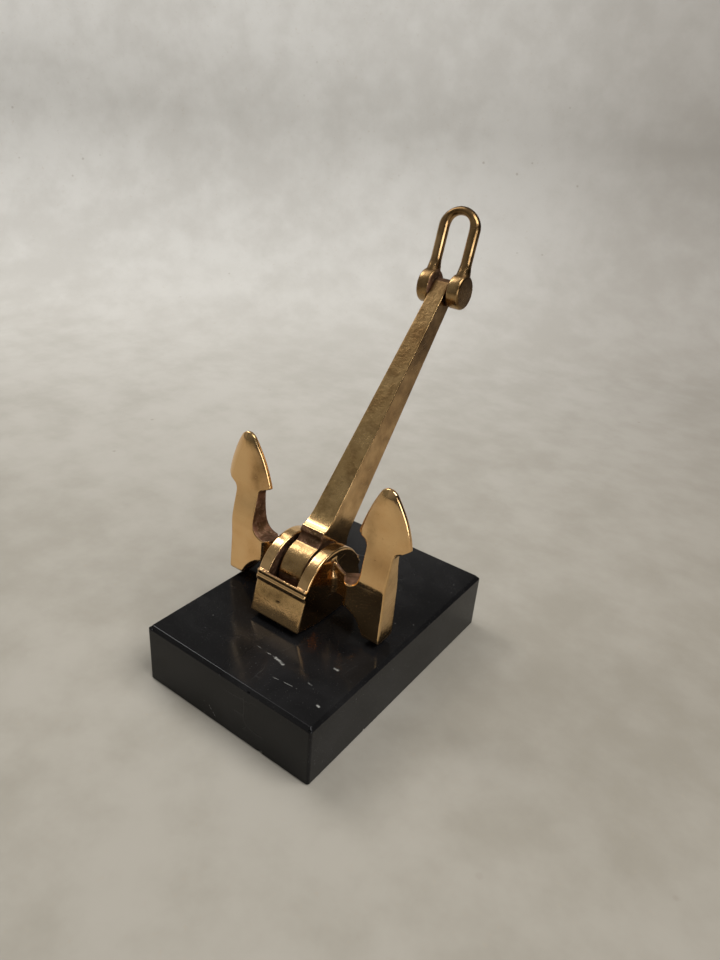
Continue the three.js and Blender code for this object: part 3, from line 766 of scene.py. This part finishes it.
def makeShank():
    s = shankSizes
    drumEnd = math.sqrt(s["drum"] ** 2 - s["neckDeep"] ** 2)
    endAngle = math.atan2(s["neckDeep"], drumEnd)
    drumTurns = np.linspace(0.03, math.pi - endAngle, 64)
    drum = [(-s["drum"] * math.cos(t), s["drum"] * math.sin(t)) for t in drumTurns]
    corners = [(drumEnd, s["neckDeep"]), (s["neckAt"], s["neckDeep"]), (s["lipFrom"], s["lipDeep"]),
               (s["lipTo"], s["lipDeep"]), (s["lipTo"] + 1.2, s["lipDeep"] - 1.1)]
    waist = roundCorners(corners, 0.22)[1:-1]
    flare = curvePoints((s["lipTo"] + 0.2, s["lipDeep"] - 0.18), (s["lipTo"] + 2.1, s["footDeep"] + 0.02),
                        (18.5, s["footDeep"] - 0.12), 14)
    taper = [(a, s["footDeep"] + (s["tipDeep"] - s["footDeep"]) * (a - 15) / (s["length"] - 15))
             for a in np.linspace(21, s["length"], 27)]
    tip = [(s["length"] + s["tipDeep"] * math.sin(t), s["tipDeep"] * math.cos(t))
           for t in np.linspace(0, math.pi / 2 - 0.05, 14)[1:]]
    stations = []
    for a, deep in drum + waist + flare + taper + tip:
        share = clampArray((a - s["footAt"]) / (s["length"] - s["footAt"]))
        past = clampArray((a - s["length"]) / s["tipDeep"])
        half = s["footHalf"] + (s["tipHalf"] - s["footHalf"]) * share - 0.7 * past ** 2
        place = pinPlace + shankWay * a + sideWay * s["tipShift"] * share
        stations.append((tuple(place * mm), sideWay, shankDeep, half * mm, deep * mm, s["edge"] * mm))
    points, faces = sweepCasting("shank", stations, polishedBrass)
    shankPiece = meshPiece("shankBar", points, faces, polishedBrass)
    creased(shankPiece)
    local = points / mm - pinPlace
    along, deep = local @ shankWay, local @ shankDeep
    normals = np.array([v.normal[:] for v in shankPiece.data.vertices])
    facing = -(normals @ shankDeep)
    onFront = smoothStep(facing, 0.55, 0.9) * smoothStep(along, 12.5, 16)
    onBack = smoothStep(-facing, 0.55, 0.9) * smoothStep(along, 12.5, 16)
    onSide = smoothStep(np.abs(normals[:, 0]), 0.7, 0.95) * smoothStep(along, 12, 14)
    neck = smoothStep(along, 5.6, 6.6) * (1 - smoothStep(along, 9.5, 10.0))
    drumSide = smoothStep(np.abs(normals[:, 0]), 0.7, 0.95) * (1 - smoothStep(along, 10, 11))
    lipFace = smoothStep(along, 9.3, 9.6) * (1 - smoothStep(along, 11.0, 11.3))
    lipFace = lipFace * smoothStep(np.abs(deep), 7.3, 7.6)
    upward = normals[:, 2]
    drumLow = (along < 6) * (1 - smoothStep(upward, 0.12, 0.34))
    tipTop = smoothStep(along, 97.2, 98.4) * smoothStep(upward, -0.2, 0.5)
    rawParts = np.maximum.reduce([neck * 0.85, drumSide * 0.8, lipFace * 0.62, drumLow * 0.75, tipTop * 0.8])
    paintPoints(shankPiece, "rawCast", rawParts)
    dullAndShade = onFront * 0.8 + onBack * 0.5 + onSide * 0.15 + (along < 6) * 0.5
    paintPoints(shankPiece, "dullAndShade", dullAndShade)
    # painted shade, with tarnish, in the neck under the lip and where the shank enters the shackle
    crevice = np.exp(-((along - 8.6) / 0.9) ** 2) * 0.8 + smoothStep(along, 93, 96.5) * 0.5
    paintPoints(shankPiece, "crevice", crevice)
    # brown tarnish on the faces; its growth towards the top is painted shade
    share = clampArray((along - 12) / 85)
    brown = onSide * (0.18 + 0.76 * share) + np.maximum(onFront, onBack) * (0.24 + 0.72 * share)
    brown = brown * smoothStep(along, 12, 15) + (along < 6) * 0.44
    paintPoints(shankPiece, "brownAndShade", brown)
    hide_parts("shank")
    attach(shankPiece, "shank")
    print("shank:", len(points), "points")


makeShank()


# Shackle: a bent bar with flared legs and two thick eyes

shackleSizes = {
    "shift": 0.95, "legX": 5.4, "bar": 1.75, "topBar": 1.34, "legLength": 18.4,
    "flareFrom": 7.6, "flareTo": 3.6,
    "flareSide": 2.1, "flareDeep": 2.9, "eyeHigh": 5.35, "eyeDeep": 5.2, "eyeInner": 3.15, "eyeOuter": 7.6,
    "eyeRound": 1.0,
}


def makeShackle():
    s = shackleSizes
    tilt = math.radians(anchorPlace["shackleLean"])
    up = np.array([0, math.sin(tilt), math.cos(tilt)])
    through = np.array([0, math.cos(tilt), -math.sin(tilt)])
    centre = pinPlace + shankWay * shankSizes["length"] + sideWay * s["shift"]

    def legSizes(height):
        flare = 1 - smoothStep(height, s["flareTo"] + 0.4, s["flareFrom"] + 1.2)
        return s["bar"] + (s["flareSide"] - s["bar"]) * flare, s["bar"] + (s["flareDeep"] - s["bar"]) * flare

    stations = []
    for height in list(np.linspace(s["flareTo"], s["flareFrom"] + 1, 12)) + [11.0, 14.0, 16.5]:
        wide, deep = legSizes(height)
        stations.append((-s["legX"], height, (1, 0), wide, deep))
    for turn in np.linspace(0, math.pi, 41):
        thin = s["bar"] + (s["topBar"] - s["bar"]) * smoothStep(math.sin(turn), 0.1, 0.95)
        reach = s["legX"] - (s["bar"] - thin) * 0.35
        stations.append((-s["legX"] * math.cos(turn), s["legLength"] + reach * math.sin(turn),
                         (math.cos(turn), -math.sin(turn)), thin, s["bar"]))
    for height in [16.5, 14.0, 11.0] + list(np.linspace(s["flareFrom"] + 1, s["flareTo"], 12)):
        wide, deep = legSizes(height)
        stations.append((s["legX"], height, (-1, 0), wide, deep))
    bar = []
    for across, height, (sx, sz), wide, deep in stations:
        place = centre + sideWay * across + up * height
        bar.append((tuple(place * mm), sideWay * sx + up * sz, through, wide * mm, deep * mm, 0.01))
    parts = [sweepCasting("bow", bar, polishedBrass, 7)]
    middle = (s["eyeInner"] + s["eyeOuter"]) / 2
    half = (s["eyeOuter"] - s["eyeInner"]) / 2
    for sign in (-1, 1):
        eye = []
        for turn in np.linspace(-math.pi / 2, math.pi / 2, 23):
            flat = (half - s["eyeRound"]) * np.sign(turn) * (abs(turn) > 1e-6)
            reach = flat + s["eyeRound"] * math.sin(turn)
            shrink = s["eyeRound"] * (1 - math.cos(turn))
            place = centre + sideWay * (sign * middle + reach)
            eye.append((tuple(place * mm), up, through, (s["eyeHigh"] - shrink) * mm,
                        (s["eyeDeep"] - shrink) * mm, 0.01))
        parts.append(sweepCasting("eye", eye, polishedBrass, 12))
    points, faces = joined(parts)
    bow = meshPiece("shackleBow", points, faces, polishedBrass)
    creased(bow, 50)
    local = points / mm - centre
    height, across = local @ up, np.abs(local[:, 0])
    inEye = 1 - smoothStep(height, 4.8, 6.4)
    innerSide = inEye * (1 - smoothStep(across, s["eyeInner"] + 0.05, s["eyeInner"] + 0.7))
    # painted reflection of a dark room: the whole bow is painted darker and browner, most at its top and on
    # the eyes' outer faces
    topPaintedShade = smoothStep(height, s["legLength"] + 2.5, s["legLength"] + 5.5) * 0.5
    paintPoints(bow, "rawCast", innerSide * 0.9)
    paintPoints(bow, "dullAndShade", inEye * 0.4 + topPaintedShade + 0.12)
    paintPoints(bow, "brownAndShade", 0.68 + topPaintedShade * 0.9 + (across > s["eyeOuter"] - 0.4) * 0.4)
    # painted shade, with tarnish, where the legs meet the eyes
    crevice = np.exp(-((height - 5.0) / 0.7) ** 2) * 0.5 * (across > s["eyeInner"])
    paintPoints(bow, "crevice", crevice)
    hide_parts("shackle_bow")
    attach(bow, "shackle")
    print("shackle bow:", len(points), "points")


makeShackle()


# Marble plinth: a sawn and polished slab with small chips on its arrises

plinthSizes = {
    "halfX": 31.0, "halfY": 45.0, "height": 20.0, "chamfer": 1.0, "corner": 0.8, "cornerSteps": 4,
    "arris": 0.12,
    "holeRadius": 1.7, "counterbore": 3.6, "counterboreTop": 8.0, "screwOffset": 12.5, "seed": 7,
    # chips: centre and size in millimetres
    "chips": [((-30.9, -43.6, 19.6), 0.75), ((-29.2, -45.0, 19.3), 0.6), ((-30.6, -41.2, 19.8), 0.45),
              ((9.4, -44.9, 19.1), 0.4), ((-1.2, -44.95, 19.2), 0.35), ((30.3, -44.6, 19.2), 0.5),
              ((30.9, 12.0, 19.3), 0.4), ((-30.9, 20.0, 19.2), 0.45), ((5.0, 44.9, 19.2), 0.4),
              ((14.0, -45.0, 0.2), 0.7), ((31.0, -20.0, 0.1), 0.6)],
}


def slabRing(inset, height):
    # one level of the slab: its rounded outline, drawn in by inset
    s = plinthSizes
    hx, hy, r = s["halfX"] - inset, s["halfY"] - inset, max(s["corner"] - inset * 0.3, 0.3)
    ring = []
    corners = ((hx - r, hy - r), (-hx + r, hy - r), (-hx + r, -hy + r), (hx - r, -hy + r))
    for quarter, (cx, cy) in enumerate(corners):
        for k in range(s["cornerSteps"] + 1):
            turn = math.radians(90 * quarter + 90 / s["cornerSteps"] * k)
            ring.append((cx + r * math.cos(turn), cy + r * math.sin(turn), height))
    return ring


def makePlinth():
    s = plinthSizes
    c, e, top = s["chamfer"], s["arris"], s["height"]
    # inset and height of each level, from the bottom edge up over the chamfer
    levels = [(0.35, 0), (0.12, 0.12), (0, 0.35), (0, top - c - e), (e * 0.3, top - c),
              (c - e, top - e * 1.2), (c, top - e * 0.3), (c + e, top)]
    points, faces = [], []
    for inset, height in levels:
        points += slabRing(inset, height)
    count = 4 * (s["cornerSteps"] + 1)
    for level in range(len(levels) - 1):
        for k in range(count):
            a, b = level * count + k, level * count + (k + 1) % count
            faces.append((a, b, b + count, a + count))
    faces.append(tuple(reversed(range(count))))
    faces.append(tuple(range((len(levels) - 1) * count, len(levels) * count)))
    slab = meshPiece("marblePlinth", np.array(points) * mm, faces, blackMarble, smooth=False)

    rng = np.random.default_rng(s["seed"])
    cutters = []
    for sign in (-1, 1):
        y = anchorPlace["y"] + sign * s["screwOffset"]
        for radius, high in ((s["holeRadius"], top + 1), (s["counterbore"], s["counterboreTop"])):
            place = (anchorPlace["x"] * mm, y * mm, (high - 1) / 2 * mm)
            bpy.ops.mesh.primitive_cylinder_add(vertices=48, radius=radius * mm, depth=(high + 1) * mm,
                                                location=place)
            cutters.append(bpy.context.object)
    for place, size in s["chips"]:
        bpy.ops.mesh.primitive_ico_sphere_add(subdivisions=2, radius=size * mm)
        chip = bpy.context.object
        spread = rng.uniform(0.7, 1.15, (len(chip.data.vertices), 1))
        shape = np.array([v.co[:] for v in chip.data.vertices]) * spread * rng.uniform(0.8, 1.5, (1, 3))
        chip.data.vertices.foreach_set("co", (shape + np.array(place) * mm).ravel())
        cutters.append(chip)
    for cutter in cutters:
        cut = slab.modifiers.new("cut", "BOOLEAN")
        cut.object, cut.operation, cut.solver = cutter, "DIFFERENCE", "EXACT"
    bpy.context.view_layer.update()
    cutMesh = bpy.data.meshes.new_from_object(slab.evaluated_get(bpy.context.evaluated_depsgraph_get()))
    slab.modifiers.clear()
    slab.data = cutMesh
    slab.data.materials.clear()
    slab.data.materials.append(blackMarble)
    for polygon in slab.data.polygons:
        polygon.material_index = 0
    for cutter in cutters:
        bpy.data.objects.remove(cutter)
    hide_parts("marble_base")
    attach(slab, "stand")
    print("plinth:", len(slab.data.vertices), "points")


makePlinth()

for nodeName, material in (("keeper_block", dullBrass), ("crown_pin", dullBrass), ("shackle_pin", dullBrass),
                           ("base_screw_front", turnedSteel), ("base_screw_rear", turnedSteel),
                           ("base_washer_front", turnedSteel), ("base_washer_rear", turnedSteel)):
    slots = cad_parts[nodeName].data.materials
    slots.clear()
    slots.append(material)
print("hidden fixings finished")


# Floor, light and camera

def makeFloor():
    # a pale paper sweep on a darker table; its axes are turned to the side it is seen from
    s = studio
    turn = math.radians(s["heading"])
    ahead = np.array([-math.sin(turn), math.cos(turn), 0])
    across = np.array([math.cos(turn), math.sin(turn), 0])
    reach = [(d, 0.0) for d in np.linspace(s["front"], s["bend"], 24)]
    reach += [(s["bend"] + s["bendRadius"] * math.sin(t), s["bendRadius"] * (1 - math.cos(t)))
              for t in np.linspace(0, math.pi / 2, 14)[1:]]
    wall = s["wallTop"] - s["bendRadius"]
    reach += [(s["bend"] + s["bendRadius"] + 0.01 * k, s["bendRadius"] + wall * k / 4) for k in range(1, 5)]
    columns = np.linspace(s["left"], s["right"], 30)
    points = [tuple(ahead * d + across * c + np.array([0, 0, z])) for d, z in reach for c in columns]
    count, faces = len(columns), []
    for row in range(len(reach) - 1):
        for k in range(count - 1):
            a = row * count + k
            faces.append((a, a + 1, a + 1 + count, a + count))
    paper = meshPiece("paleFloor", points, faces, makeFloorPaper())
    turns = np.linspace(0, 2 * math.pi, 49)[:-1]
    radius, depth = s["tableSize"]
    rim = [(radius * math.cos(t), radius * math.sin(t), -depth) for t in turns]
    table = meshPiece("table", rim, [tuple(range(len(rim)))], makeTable())


def makeLights():
    for name, (place, target, width, height, watts, colour) in studio["lights"].items():
        light = bpy.data.lights.new(name, "AREA")
        light.shape = "RECTANGLE"
        light.size, light.size_y = width, height
        light.energy, light.color = watts, colour
        lamp = bpy.data.objects.new(name, light)
        bpy.context.scene.collection.objects.link(lamp)
        lamp.location = place
        aim = Matrix.Translation(target).translation - lamp.location
        lamp.rotation_mode = "QUATERNION"
        lamp.rotation_quaternion = aim.to_track_quat("-Z", "Y")
    world = bpy.data.worlds.new("room")
    world.use_nodes = True
    tree = world.node_tree
    facing = vectorMaths(tree, "DOT_PRODUCT", addNode(tree, "ShaderNodeTexCoord"), studio["litFrom"], out=1)
    glow = mixColour(tree, facing.rise(-0.35, 0.9), (*studio["worldDark"], 1), (*studio["worldLit"], 1))
    plug(tree, tree.nodes["Background"].inputs["Color"], glow)
    bpy.context.scene.world = world


cameraSetting = {
    "place": (0.11096, -0.15063, 0.16134), "yaw": 34.14, "pitch": 27.72, "roll": 4.84, "lens": 27.472,
}


def makeCamera():
    yaw, pitch, roll = (math.radians(cameraSetting[k]) for k in ("yaw", "pitch", "roll"))
    look = np.array([-math.sin(yaw) * math.cos(pitch), math.cos(yaw) * math.cos(pitch), -math.sin(pitch)])
    right = np.array([math.cos(yaw), math.sin(yaw), 0])
    up = np.cross(right, look)
    right, up = (math.cos(roll) * right + math.sin(roll) * up, math.cos(roll) * up - math.sin(roll) * right)
    data = bpy.data.cameras.new("camera")
    data.sensor_fit = "AUTO"
    data.sensor_width = 36
    data.lens = cameraSetting["lens"]
    data.clip_start, data.clip_end = 0.01, 20
    camera = bpy.data.objects.new("camera", data)
    bpy.context.scene.collection.objects.link(camera)
    turn = np.stack([right, up, -look], 1)
    camera.matrix_world = Matrix.Translation(cameraSetting["place"]) @ Matrix(turn.tolist()).to_4x4()
    bpy.context.scene.camera = camera


makeFloor()
makeLights()
makeCamera()
bpy.context.scene.view_settings.view_transform = "Standard"
print("floor, lights and camera placed")
